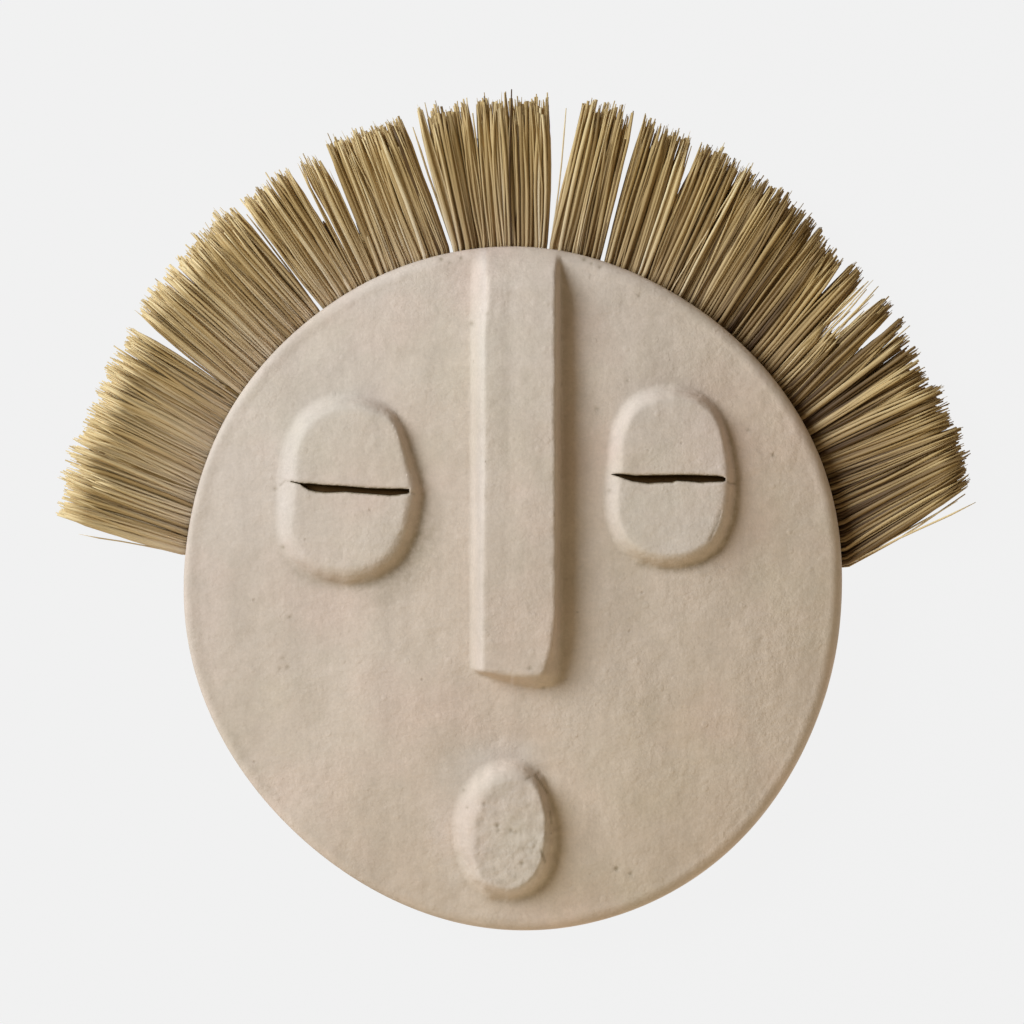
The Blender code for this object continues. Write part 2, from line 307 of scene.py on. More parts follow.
MOUTH = (
    (-0.0016, -0.1113),
    (16.2, 17.3, 19.8, 24.3, 25.6, 23.8, 20.8, 18.2, 16.7, 16.4, 17.6, 20.2, 23.6, 24.6, 24.4, 21.8, 18.7,
     16.6),
    (6.8, 5.8, 10.4, 12.4, 10.2, 8.2, 7.0, 7.6), 0.0094, (0.38, 0.62), (0.60, 0.24), 0.00050,
)
LIT_FROM = math.radians(145)
OVAL_REACH = 0.055
NEVER, ALWAYS = -9.0, 9.0


def oval_place(oval, x, y):
    """Share of the way up an oval's slope, 0 at the foot and 1 at the edge of the top, and its section."""
    (middle_x, middle_y), reaches, widths, _, lit_section, shade_section, unevenness = oval
    across, along = x - middle_x, y - middle_y
    distance = math.hypot(across, along)
    if distance > OVAL_REACH or distance < 1e-6:
        return (NEVER if distance > OVAL_REACH else ALWAYS), lit_section
    direction = math.atan2(along, across)

    def around(values):
        """A smooth curve through the values that go round the oval, in metres."""
        step = math.degrees(direction) % 360 / 360 * len(values)
        at = int(step)
        t = step - at
        a, b, c, d = (values[(at + i) % len(values)] for i in (-1, 0, 1, 2))
        bend, twist = 2 * a - 5 * b + 4 * c - d, 3 * b - a - 3 * c + d
        return 0.0005 * (2 * b + (c - a) * t + bend * t * t + twist * t ** 3)

    edge = around(reaches) + unevenness * (
        noise.noise(Vector((x * 170, y * 170, 5.0))) + 0.4 * noise.noise(Vector((x * 420, y * 420, 8.0)))
    )
    lit = lit_side(oval, x, y)
    section = tuple(low + (high - low) * lit for low, high in zip(shade_section, lit_section))
    return (edge - distance) / around(widths) + 1, section


def lit_side(oval, x, y):
    """1 on the upper left side of an oval, which was pressed out softly, and 0 on its lower right side."""
    direction = math.atan2(y - oval[0][1], x - oval[0][0])
    return smoothstep(0.5 + 0.6 * math.cos(direction - LIT_FROM))


def oval_share(oval, x, y):
    return oval_place(oval, x, y)[0]


def raised(share, section):
    """The side of a raised form: a hollow foot, a straight slope, and a round edge to the top."""
    foot, brow = section
    t = min(max(share / TOP_EDGE, 0.0), 1.0)
    steep = 1 / (1 - (foot + brow) / 2)
    if t < foot:
        return steep * t * t / (2 * foot)
    if t < 1 - brow:
        return steep * (t - foot / 2)
    return 1 - steep * (1 - t) ** 2 / (2 * brow)


# Slits: the upper and the lower edge of each cut, as (x, y) from left to right in millimetres
LEFT_SLIT = (
    ((-100.8, 49.1), (-96.4, 48.3), (-92.0, 48.3), (-86.2, 47.7), (-75.7, 47.1), (-66.1, 46.2),
     (-56.0, 45.9), (-46.9, 45.6)),
    ((-100.8, 48.9), (-96.4, 47.7), (-94.6, 46.2), (-92.4, 44.9), (-89.4, 44.1), (-84.8, 43.6),
     (-75.7, 44.0), (-70.2, 43.5), (-62.2, 42.9), (-55.6, 42.3), (-47.8, 43.2), (-46.9, 43.8)),
)
RIGHT_SLIT = (
    ((44.9, 52.4), (49.7, 52.4), (55.6, 51.8), (64.8, 52.1), (74.3, 52.2), (83.7, 52.1), (93.0, 51.7),
     (95.6, 51.2), (96.6, 50.5)),
    ((44.9, 52.1), (49.7, 50.5), (54.3, 48.8), (61.6, 47.7), (67.5, 48.2), (72.3, 48.2), (74.3, 49.0),
     (79.8, 48.7), (84.8, 48.2), (91.7, 48.5), (95.6, 48.7), (96.6, 49.2)),
)
SLIT_LIP = 0.0010
SLIT_LIP_DROP = 0.0007
SLIT_BEVEL = 0.0045
SLIT_NARROWING = 0.60


def along_edge(points, x):
    """y of a slit's edge at an x, or None beyond its ends."""
    for (x0, y0), (x1, y1) in zip(points, points[1:]):
        if x0 - 0.001 <= x <= x1 + 0.001:
            return y0 + (y1 - y0) * (x - x0) / (x1 - x0)
    return None


def lip_drop(x, y):
    """How much the paste is pressed down beside a slit, where the knife went in."""
    for high_edge, low_edge in (LEFT_SLIT, RIGHT_SLIT):
        high, low = along_edge(high_edge, x * 1000), along_edge(low_edge, x * 1000)
        if high is None or low is None:
            continue
        beyond = max(y - high / 1000, low / 1000 - y, 0.0)
        if beyond < SLIT_LIP:
            return SLIT_LIP_DROP * (1 - beyond / SLIT_LIP) ** 2
    return 0.0


# Pits and lumps left in the paste, as (x, y, radius, depth) in millimetres, where a depth under zero
# stands up. Each crack is its share of the full depth and then a line of points.
PITS = (
    (118.6, 61.1, 1.0, 0.45), (107.2, 72.5, 0.8, 0.35), (52.4, 94.8, 0.9, 0.30),
    (38.3, 82.1, 0.8, 0.35), (43.8, 44.7, 0.9, 0.30), (47.4, -127.2, 1.2, 0.55),
    (53.8, -129.5, 0.9, 0.40), (-104.4, 19.2, 0.9, 0.35), (-18.7, 120.8, 1.0, 0.30),
    (-11.4, 124.9, 0.8, 0.30), (7.8, -35.6, 0.9, 0.40), (14.1, -44.7, 0.9, 0.35),
    (-101.2, -12.8, 0.9, 0.35), (-101.9, -35.6, 1.1, 0.35), (-105.5, -36.3, 1.0, 0.25),
    (-104.4, -31.5, 0.9, 0.2), (-108.1, 45.6, 0.9, 0.35), (-6.8, -107.0, 1.0, 0.45),
    (-6.6, -109.4, 0.9, 0.35), (-0.6, -109.2, 1.1, 0.35), (1.4, -110.2, 0.9, 0.30),
    (4.4, -124.3, 0.9, 0.45), (-13.3, -104.5, 0.9, 0.30), (-12.8, -97.4, 0.9, 0.40),
    (-11.3, -117.8, 0.8, 0.25), (-20.6, -99.0, 0.7, 0.35), (-22.2, -91.2, 0.7, 0.30),
    (-32.6, 150.3, 1.0, 0.5), (-23.4, 150.7, 0.9, 0.4), (-28.6, 148.7, 0.7, 0.3),
    (32.6, 150.3, 1.0, 0.5), (35.9, 148.3, 0.8, 0.4), (39.9, 146.6, 0.9, 0.4),
    (57.7, 133.5, 0.9, 0.35),
)
CRACKS = (
    (0.25, (-77.1, 20.2), (-77.6, 17.4), (-77.4, 13.6)),
    (0.7, (-100.4, 48.8), (-103.2, 49.4), (-105.6, 47.2)),
    (0.8, (96.4, 49.6), (98.6, 48.2), (101.0, 48.0)),
    (1.0, (10.3, -84.2), (12.9, -88.0), (15.6, -92.4)),
    (0.9, (16.8, -101.0), (17.6, -106.0)),
    (1.0, (13.0, -118.5), (14.8, -124.0)),
    (0.8, (89.4, 22.7), (92.6, 29.5), (94.8, 37.7), (95.4, 45.6)),
    (0.6, (-46.6, 44.2), (-44.6, 43.0)),
    (0.6, (5.8, -86.0), (9.8, -84.6)),
)
CRACK_HALF_WIDTH = 0.45
CRACK_DEPTH = 0.6
CRACK_REACH = 14
LUMPS = (
    (-10.5, -84.5, 9.0, -0.9), (-19.0, -92.0, 5.0, -0.6), (6.5, -80.0, 6.0, -0.4),
    (-11.0, -138.5, 4.0, -0.9), (-23.0, -132.0, 3.5, -0.4), (9.0, 40.0, 5.0, -0.2),
    (-2.0, 20.0, 4.0, 0.3), (46.0, -45.0, 14.0, -0.4), (-40.0, -60.0, 16.0, -0.4),
)


def crack_share(x, y):
    """1 in the middle of a deep crack, less in a shallow one, 0 away from them."""
    spot, deepest = Vector((x * 1000, y * 1000)), 0.0
    for strength, *points in CRACKS:
        if (Vector(points[0]) - spot).length > CRACK_REACH:
            continue
        for start, end in zip(points, points[1:]):
            start, end = Vector(start), Vector(end)
            along = min(max((spot - start).dot(end - start) / (end - start).length_squared, 0.0), 1.0)
            away = (start.lerp(end, along) - spot).length
            deepest = max(deepest, strength * hump(away, CRACK_HALF_WIDTH))
    return deepest


# Dirt and painted shade by where they lie, 1 being the darkest; the shaded feet go in the order of OVALS
OVALS = (LEFT_EYE, RIGHT_EYE, MOUTH)
PIT_DIRT = 1.6
CRACK_DIRT = 0.7
LIP_DIRT = 0.5
NOSE_FOOT_SHADE = 0.26
FOOT_SHADE = 0.08
SHADED_FOOT_PAINTED_SHADE = (0.40, 0.50, 0.26)
BELOW_EYE_SHADOW = 0.36
SCRATCH_DIRT = 0.45


def soil_and_shade(x, y):
    """How dark a place is: dirt in pits, cracks, scratches and slits, and painted shade at the forms' feet.
    """
    dark = sum(PIT_DIRT * depth * hump(math.hypot(x * 1000 - px, y * 1000 - py), radius)
               for px, py, radius, depth in PITS)
    # Painted shade in the crook at the foot of the nose's right side, which is turned from the lamp
    dark += NOSE_FOOT_SHADE * hump(x - NOSE_RIGHT_FOOT - 0.001, 0.0022) * smoothstep((y + 0.045) / 0.02)
    dark += CRACK_DIRT * crack_share(x, y) + LIP_DIRT * lip_drop(x, y) / SLIT_LIP_DROP
    shares = [nose_share(x, y)] + [oval_share(oval, x, y) for oval in OVALS]
    # Painted shade in the crook at the foot of every raised form
    dark += FOOT_SHADE * max(hump(share - 0.12, 0.20) for share in shares)
    # Painted shade on the lower right feet of the eyes and the mouth, turned from the lamp; settled is its
    # strength
    for oval, share, settled in zip(OVALS, shares[1:], SHADED_FOOT_PAINTED_SHADE):
        dark += settled * hump(share - 0.06, 0.28) * (1 - lit_side(oval, x, y))
    # Painted shadow below and to the right of the left eye, where the eye's shadow falls
    eye_x, eye_y = LEFT_EYE[0]
    below = smoothstep((eye_y + 0.006 - y) / 0.030) * smoothstep((x - eye_x + 0.004) / 0.030)
    dark += BELOW_EYE_SHADOW * hump(shares[1] + 0.50, 0.70) * below
    if shares[3] > 0.9:
        dark += SCRATCH_DIRT * max(noise.noise(Vector((x * 420, y * 260, 1.0))) - 0.12, 0.0)
    return min(dark, 1.0)


# Unevenness of the hand-smoothed paste, as (height, scale) from broad to fine, and on the mouth besides
UNEVEN = ((0.00060, 24), (0.00026, 75), (0.00013, 190))
UNEVEN_MOUTH = ((0.00026, 240), (0.00010, 640))


def relief(x, y):
    """Height of everything that stands up from the plain face at a place, or sinks into it."""
    section = NOSE_LEFT_SECTION if x < 0 else NOSE_RIGHT_SECTION
    crest, at, reach = NOSE_CREST
    rise = (NOSE_RELIEF + crest * hump(y - at, reach)) * raised(nose_share(x, y), section)
    rise *= smoothstep((outline(90) - y) / NOSE_FADE + NOSE_CROWN_SHARE)
    dip, at, reach = NOSE_DIP
    rise -= dip * hump(x - at, reach) * min(rise / NOSE_RELIEF, 1.0) * smoothstep((y - 0.02) / 0.05)
    for oval in OVALS:
        rise += oval[3] * raised(*oval_place(oval, x, y))
    for px, py, radius, depth in PITS + LUMPS:
        away = math.hypot(x * 1000 - px, y * 1000 - py)
        if away < radius * 3:
            rise -= depth / 1000 * hump(away, radius)
    rise -= CRACK_DEPTH / 1000 * crack_share(x, y)
    spot = Vector((x, y, 0.0))
    rise += sum(height * noise.noise(spot * scale) for height, scale in UNEVEN)
    if abs(x) < 0.04 and y < -0.07:
        on_mouth = smoothstep(oval_share(MOUTH, x, y) + 0.3)
        rise += sum(height * noise.noise(spot * scale) for height, scale in UNEVEN_MOUTH) * on_mouth
    return rise - lip_drop(x, y)


# Chalk rubbed on the tops, of the nose and then of the OVALS, and a painted highlight on the lit sides
TOP_CHALK = (0.1, 0.1, 0.9, 1.0)
NOSE_LIT_SIDE_HIGHLIGHT = 0.6
LIT_SIDE_HIGHLIGHT = 0.7


def chalk_and_highlight(x, y):
    """How pale the wash lies: clean on the tops of the raised forms, with a painted highlight on their lit
    sides.
    """
    shares = [nose_share(x, y)] + [oval_share(oval, x, y) for oval in OVALS]
    clean = max(paled * smoothstep((share - 0.4) / 0.8) for paled, share in zip(TOP_CHALK, shares))
    # Painted highlight on the nose's left slope and on the upper left sides of the eyes and the mouth,
    # turned to the lamp
    clean = max(clean, NOSE_LIT_SIDE_HIGHLIGHT * hump(shares[0] - 0.8, 0.35) * (x < -0.012))
    for oval, share in zip(OVALS, shares[1:]):
        clean = max(clean, LIT_SIDE_HIGHLIGHT * hump(share - 0.6, 0.6) * lit_side(oval, x, y))
    clean = max(clean, LIT_SIDE_HIGHLIGHT * hump(shares[3] + 0.3, 0.7) * lit_side(MOUTH, x, y))
    return clean * (0.8 + 0.4 * noise.noise(Vector((x * 60, y * 60, 4.0))))


def needs_detail(x, y):
    """True by the edges of the raised forms, the slits and the larger pits."""
    if -0.12 < nose_share(x, y) < 1.14 and y < outline(90) - 0.002:
        return True
    for oval in OVALS:
        if -0.08 < oval_share(oval, x, y) < (ALWAYS if oval is MOUTH else 1.15):
            return True
    if crack_share(x, y) > 0.01:
        return True
    for high_edge, low_edge in (LEFT_SLIT, RIGHT_SLIT):
        beside = high_edge[0][0] - 1 < x * 1000 < high_edge[-1][0] + 1
        if beside and abs(y * 1000 - high_edge[4][1] + 1.8) < 4.6:
            return True
    return any(math.hypot(x * 1000 - px, y * 1000 - py) < 2 * radius for px, py, radius, _ in PITS)


FACE_CELLS = 228
EDGE_ARC = EDGE_ROUND * math.pi / 2


def disc(bm, cells, full, place):
    """A square grid drawn out to a round sheet; place() puts each point by its share of the way out."""
    made = bmesh.ops.create_grid(bm, x_segments=cells, y_segments=cells, size=1.0)["verts"]
    for vert in made:
        u, v = vert.co.x, vert.co.y
        a, b = u * math.sqrt(1 - v * v / 2), v * math.sqrt(1 - u * u / 2)
        vert.co = place(min(math.hypot(a, b), 1.0) * full, math.degrees(math.atan2(b, a)))
    return made


def on_face(arc, degrees):
    """A place on the face by the way to it along the round profile, over the rolled edge."""
    radius, full = arc, fullness(degrees)
    if arc > FLAT:
        radius = FLAT + EDGE_ROUND * math.sin(min((arc - FLAT) / EDGE_ROUND, math.pi / 2)) ** (2 / full)
    return polar(radius * outline(degrees) / HALF, degrees, dome_height(radius, full))


def in_hollow(radius, degrees):
    """A place on the inside of the shell, where the strips of paper show as a slight unevenness."""
    point = polar(radius * outline(degrees) / HALF, degrees, dome_height(radius) - WALL)
    point.z += 0.0007 * noise.noise(point * 40) + 0.0003 * noise.noise(point * 130)
    return point


def ring_down(bm, edges, place):
    """Carries an open rim on as a new ring, each point put by its direction, and returns the new rim."""
    grown = bmesh.ops.extrude_edge_only(bm, edges=edges)["geom"]
    fresh = {item for item in grown if isinstance(item, bmesh.types.BMVert)}
    for vert in fresh:
        vert.co = place(math.degrees(math.atan2(vert.co.y, vert.co.x)))
    return [item for item in grown if isinstance(item, bmesh.types.BMEdge) and set(item.verts) <= fresh]


def rim_place(inset, height, groove):
    """Where a ring of the rim lies; in the groove's span it is drawn in by the groove's depth."""
    def place(degrees):
        inside = inset
        if groove and GROOVE_SPAN[0] - 0.1 <= degrees % 360 <= GROOVE_SPAN[1] + 0.1:
            inside = GROOVE_DEPTH
        radius = outline(degrees) - inside
        spot = polar(radius, degrees, height)
        if inset < 0.004:
            radius += 0.0003 * noise.noise(spot * 60) * min(1.0, (EDGE_START - height) / 0.003)
        return polar(radius, degrees, height)
    return place


def finish_mesh(name, bm, mat):
    """Turns a bmesh into a named piece at the origin, with its place in its mesh."""
    mesh = bpy.data.meshes.new(name)
    bm.to_mesh(mesh)
    bm.free()
    mesh.shade_smooth()
    mesh.materials.append(mat)
    obj = bpy.data.objects.new(name, mesh)
    bpy.context.scene.collection.objects.link(obj)
    return obj


# Colours of the skin; the lower ones multiply what lies under them. A painted tint of light runs over it,
# cooler at the upper left, where the lamp falls, and warmer at the lower right, in shade.
SKIM_DARK = (0.570, 0.447, 0.352)
SKIM_PALE = (0.650, 0.520, 0.424)
SKIM_PINK = (0.646, 0.482, 0.388)
SKIM_OLIVE = (0.546, 0.452, 0.325)
PINHOLE = (0.235, 0.160, 0.095)
DIRT_AND_SHADE = (0.225, 0.168, 0.100)
SLIT_SHADE = (0.058, 0.024, 0.002)
SHADED_TOWARDS = (0.8, -0.6, 0.0)
LIT_TINT, SHADED_TINT = (0.975, 1.000, 1.035), (1.010, 0.995, 0.960)
CHALK_AND_HIGHLIGHT = (1.060, 1.115, 1.190)
STROKE_DARK, STROKE_PALE = (0.93, 0.93, 0.93), (1.06, 1.06, 1.06)
SMUDGE_DARK, SMUDGE_PALE = (0.960, 0.962, 0.960), (1.035, 1.033, 1.035)
GRIT_DARK, GRIT_PALE = (0.95, 0.945, 0.94), (1.04, 1.04, 1.04)


def clay_material():
    """Clay and chalk wash: mottled beige, brushed on, fine grit, small pits, dirt and painted shade in the
    crooks.
    """
    mat = bpy.data.materials.new("clay_skim_brushed")
    mat.use_nodes = True
    tree = mat.node_tree
    place = add_node(tree, "ShaderNodeTexCoord").outputs["Object"]

    def cloud(scale, detail, rough, seed, stretch=(1, 1, 1), turn=0.0):
        moved = add_node(
            tree, "ShaderNodeMapping", Location=(seed, seed * 0.7, seed * 1.3), Scale=stretch,
            Rotation=(0, 0, math.radians(turn)), Vector=place,
        ).outputs[0]
        return add_node(
            tree, "ShaderNodeTexNoise", Scale=scale, Detail=detail, Roughness=rough, Vector=moved,
        ).outputs["Fac"]

    def spread(value, low, high, out_low=0.0, out_high=1.0):
        return add_node(
            tree, "ShaderNodeMapRange", in_0=value, in_1=low, in_2=high, in_3=out_low, in_4=out_high,
        ).outputs["Result"]

    def blend(kind, share, first, second):
        node = add_node(tree, "ShaderNodeMix", data_type="RGBA", blend_type=kind)
        for socket, value in ((node.inputs[0], share), (node.inputs[6], first), (node.inputs[7], second)):
            if isinstance(value, bpy.types.NodeSocket):
                tree.links.new(value, socket)
            elif isinstance(value, tuple):
                socket.default_value = (*value, 1.0)
            else:
                socket.default_value = value
        return node.outputs[2]

    def maths(operation, first, second):
        return add_node(tree, "ShaderNodeMath", operation=operation, in_0=first, in_1=second).outputs[0]

    def varied(under, share, dark, pale):
        """The colour under it, made darker or paler from place to place."""
        return blend("MULTIPLY", 1.0, under, blend("MIX", share, dark, pale))

    mottle = cloud(11, 5, 0.55, 0.0)
    colour = blend("MIX", spread(mottle, 0.36, 0.66), SKIM_DARK, SKIM_PALE)
    colour = blend("MIX", spread(cloud(17, 3, 0.5, 3.1), 0.48, 0.66, 0.0, 0.70), colour, SKIM_PINK)
    colour = blend("MIX", spread(cloud(13, 4, 0.6, 7.7), 0.48, 0.66, 0.0, 0.32), colour, SKIM_OLIVE)
    # Painted light: a cooler tint towards the lit upper left and a warmer one towards the shaded lower
    # right
    across = add_node(tree, "ShaderNodeVectorMath", operation="DOT_PRODUCT", in_0=place, in_1=SHADED_TOWARDS)
    colour = varied(colour, spread(across.outputs["Value"], -0.13, 0.13), LIT_TINT, SHADED_TINT)
    # Chalk on the tops of the raised forms, and a painted highlight on their lit sides
    paled = add_node(tree, "ShaderNodeAttribute", attribute_name="chalk_and_highlight").outputs["Fac"]
    colour = blend("MULTIPLY", paled, colour, CHALK_AND_HIGHLIGHT)
    strokes = cloud(55, 4, 0.6, 1.9, (1.0, 0.16, 1.0), 18)
    cross_strokes = cloud(60, 4, 0.6, 5.3, (0.18, 1.0, 1.0), 32)
    colour = varied(colour, spread(strokes, 0.3, 0.7), STROKE_DARK, STROKE_PALE)
    colour = varied(colour, spread(cloud(150, 4, 0.7, 9.3), 0.34, 0.66), SMUDGE_DARK, SMUDGE_PALE)
    grit = cloud(700, 3, 0.6, 2.2)
    colour = varied(colour, spread(grit, 0.3, 0.7), GRIT_DARK, GRIT_PALE)
    dots = add_node(tree, "ShaderNodeTexVoronoi", Scale=170.0, Randomness=1.0, Vector=place)
    rare = add_node(tree, "ShaderNodeSeparateColor", Color=dots.outputs["Color"]).outputs[0]
    in_dot = spread(dots.outputs["Distance"], 0.05, 0.16, 1.0, 0.0)
    pinholes = maths("MULTIPLY", in_dot, spread(rare, 0.972, 0.984, 0.0, 1.0))
    colour = blend("MIX", maths("MULTIPLY", pinholes, 0.3), colour, PINHOLE)
    # Dirt and painted shade; past 1 it paints the deep shade inside the slits
    soil_and_shade_share = add_node(tree, "ShaderNodeAttribute", attribute_name="soil_and_shade").outputs["Fac"]
    blotched = maths("MULTIPLY", soil_and_shade_share, spread(cloud(320, 3, 0.6, 4.4), 0.3, 0.65, 0.45, 1.0))
    colour = blend("MIX", blotched, colour, DIRT_AND_SHADE)
    colour = blend("MIX", spread(soil_and_shade_share, 1.15, 1.7), colour, SLIT_SHADE)
    shader = tree.nodes["Principled BSDF"]
    tree.links.new(colour, shader.inputs["Base Color"])
    tree.links.new(spread(grit, 0.3, 0.7, 0.82, 0.95), shader.inputs["Roughness"])
    shader.inputs["Specular IOR Level"].default_value = 0.25
    rough_places = spread(cloud(30, 2, 0.5, 6.1), 0.42, 0.64, 0.7, 1.2)
    height = maths("ADD", maths("MULTIPLY", strokes, 0.00036), maths("MULTIPLY", cross_strokes, 0.00030))
    grain = maths("MULTIPLY", cloud(210, 4, 0.65, 8.8), 0.00054)
    height = maths("ADD", height, maths("MULTIPLY", grain, rough_places))
    height = maths("ADD", height, maths("MULTIPLY", grit, 0.00006))
    flakes = add_node(tree, "ShaderNodeTexVoronoi", Scale=240.0, Randomness=1.0, Vector=place)
    chosen = add_node(tree, "ShaderNodeSeparateColor", Color=flakes.outputs["Color"]).outputs[1]
    in_flake = spread(flakes.outputs["Distance"], 0.20, 0.42, 1.0, 0.0)
    raised_flakes = maths("MULTIPLY", in_flake, spread(chosen, 0.86, 0.94, 0.0, 1.0))
    height = maths("ADD", height, maths("MULTIPLY", raised_flakes, 0.00011))
    height = maths("SUBTRACT", height, maths("MULTIPLY", pinholes, 0.00016))
    bump = add_node(tree, "ShaderNodeBump", Strength=1.0, Distance=1.0, Height=height)
    tree.links.new(bump.outputs["Normal"], shader.inputs["Normal"])
    return mat


# Each slit is cut by a hidden solid that is as wide as the slit at the skin and narrower further in, as a
# knife leaves it. It reaches from inside the hollow to well above the skin.
KNIFE_HEIGHTS = (0.010, 0.070)


def slit_knife(name, edges):
    """The hidden solid that cuts one slit."""
    high_edge, low_edge = edges
    bm = bmesh.new()
    ring = [bm.verts.new((x / 1000, y / 1000, 0.0)) for x, y in list(high_edge) + list(reversed(low_edge))]
    caps = [bm.faces.new(ring)]
    rings = [ring]
    for level in range(3):
        lifted = bmesh.ops.extrude_face_region(bm, geom=caps)["geom"]
        caps = [item for item in lifted if isinstance(item, bmesh.types.BMFace)]
        rings.append([item for item in lifted if isinstance(item, bmesh.types.BMVert)])
    for level, ring in enumerate(rings):
        for vert in ring:
            x, y = vert.co.x, vert.co.y
            skin = dome_height(math.hypot(x, y)) + relief(x, y) + lip_drop(x, y)
            if level < 2:
                middle = (along_edge(high_edge, x * 1000) + along_edge(low_edge, x * 1000)) / 2000
                vert.co.y = middle + (y - middle) * SLIT_NARROWING
            vert.co.z = (KNIFE_HEIGHTS[0], skin - SLIT_BEVEL, skin + SLIT_LIP, KNIFE_HEIGHTS[1])[level]
    bmesh.ops.translate(bm, verts=bm.verts[:], vec=MIDDLE)
    bmesh.ops.triangulate(bm, faces=bm.faces[:])
    bmesh.ops.recalc_face_normals(bm, faces=bm.faces[:])
    mesh = bpy.data.meshes.new(name)
    bm.to_mesh(mesh)
    bm.free()
    obj = bpy.data.objects.new(name, mesh)
    bpy.context.scene.collection.objects.link(obj)
    return obj


def in_slit(x, y):
    """True between the two edges of a slit, both in metres from the middle of the face."""
    for high_edge, low_edge in (LEFT_SLIT, RIGHT_SLIT):
        high, low = along_edge(high_edge, x * 1000), along_edge(low_edge, x * 1000)
        if high is not None and low is not None and low - 0.02 <= y * 1000 <= high + 0.02:
            return True
    return False


# The rings of the rim, from the edge of the face round to the hollow: (how far in, height, in the groove)
RIM_RINGS = (
    (0.0, EDGE_START - 0.002, False),
    (0.0, GROOVE_LIP + GROOVE_HEIGHT + 0.0006, False),
    (0.0004, GROOVE_LIP + GROOVE_HEIGHT, False),
    (0.0004, GROOVE_LIP + GROOVE_HEIGHT - 0.0001, True),
    (0.0004, GROOVE_LIP + 0.0001, True),
    (0.0004, GROOVE_LIP, False),
    (0.0, GROOVE_LIP - 0.0006, False),
    (0.0, 0.0016, False),
    (0.0005, 0.0005, False),
    (0.0016, 0.0, False),
    (RIM_WIDTH - 0.0016, 0.0, False),
    (RIM_WIDTH - 0.0005, 0.0005, False),
    (RIM_WIDTH, 0.0016, False),
    (RIM_WIDTH, 0.0085, False),
)
HOLLOW_CELLS = 64
NOSE_MIDDLE = 0.0026
NOSE_REACH = 0.025


def face_piece(mat):
    """The whole face as one closed piece: the modelled skin, the rim, the hollow and the cut slits."""
    bm = bmesh.new()
    disc(bm, FACE_CELLS, FLAT + EDGE_ARC, on_face)
    fine = {vert for vert in bm.verts if needs_detail(vert.co.x, vert.co.y)}
    bmesh.ops.subdivide_edges(
        bm, edges=[edge for edge in bm.edges if set(edge.verts) <= fine], cuts=1, use_grid_fill=True,
    )
    soil_and_shade_layer = bm.verts.layers.float.new("soil_and_shade")
    chalk_and_highlight_layer = bm.verts.layers.float.new("chalk_and_highlight")
    for vert in bm.verts:
        x, y = vert.co.x, vert.co.y
        degrees = math.degrees(math.atan2(y, x))
        share = math.hypot(x, y) / outline(degrees)
        fade = 1 - smoothstep((share - 0.97) / 0.03)
        if abs(x - NOSE_MIDDLE) < NOSE_REACH and y > 0:
            fade = smoothstep((1 - share) / 0.06 + NOSE_CROWN_SHARE)
        vert.co.z = dome_height(min(share, 1.0) * HALF, fullness(degrees)) + relief(x, y) * fade
        vert[soil_and_shade_layer] = soil_and_shade(x, y)
        vert[chalk_and_highlight_layer] = chalk_and_highlight(x, y)
    rim = [edge for edge in bm.edges if edge.is_boundary]
    for inset, height, groove in RIM_RINGS:
        rim = ring_down(bm, rim, rim_place(inset, height, groove))
    hollow = set(disc(bm, HOLLOW_CELLS, HALF - RIM_WIDTH, in_hollow))
    hollow_rim = [edge for edge in bm.edges if edge.is_boundary and set(edge.verts) <= hollow]
    bmesh.ops.bridge_loops(bm, edges=rim + hollow_rim)
    bmesh.ops.recalc_face_normals(bm, faces=bm.faces[:])
    if bm.calc_volume(signed=True) < 0:
        bmesh.ops.reverse_faces(bm, faces=bm.faces[:])
    bmesh.ops.translate(bm, verts=bm.verts[:], vec=MIDDLE)
    piece = finish_mesh("face_clay", bm, mat)
    for name, edges in (("left_slit_knife", LEFT_SLIT), ("right_slit_knife", RIGHT_SLIT)):
        knife = slit_knife(name, edges)
        cut = piece.modifiers.new(name, "BOOLEAN")
        cut.operation = "DIFFERENCE"
        cut.solver = "EXACT"
        cut.object = knife
    settled = piece.evaluated_get(bpy.context.evaluated_depsgraph_get())
    mesh = bpy.data.meshes.new_from_object(settled)
    piece.modifiers.clear()
    piece.data = mesh
    # Inside a cut the value goes past 1, which the clay's colour takes as the painted shade of the slit
    soil_and_shade_layer = mesh.attributes["soil_and_shade"].data
    for vert in mesh.vertices:
        x, y = vert.co.x - MIDDLE.x, vert.co.y - MIDDLE.y
        if in_slit(x, y):
            skin = dome_height(math.hypot(x, y)) + relief(x, y)
            soil_and_shade_layer[vert.index].value = 2.0 if vert.co.z < skin - 0.0006 else 1.2
    for knife in [obj for obj in bpy.data.objects if obj.name.endswith("_slit_knife")]:
        bpy.data.objects.remove(knife, do_unlink=True)
    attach(piece, "root")
    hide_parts("face_shell")


face_piece(clay_material())


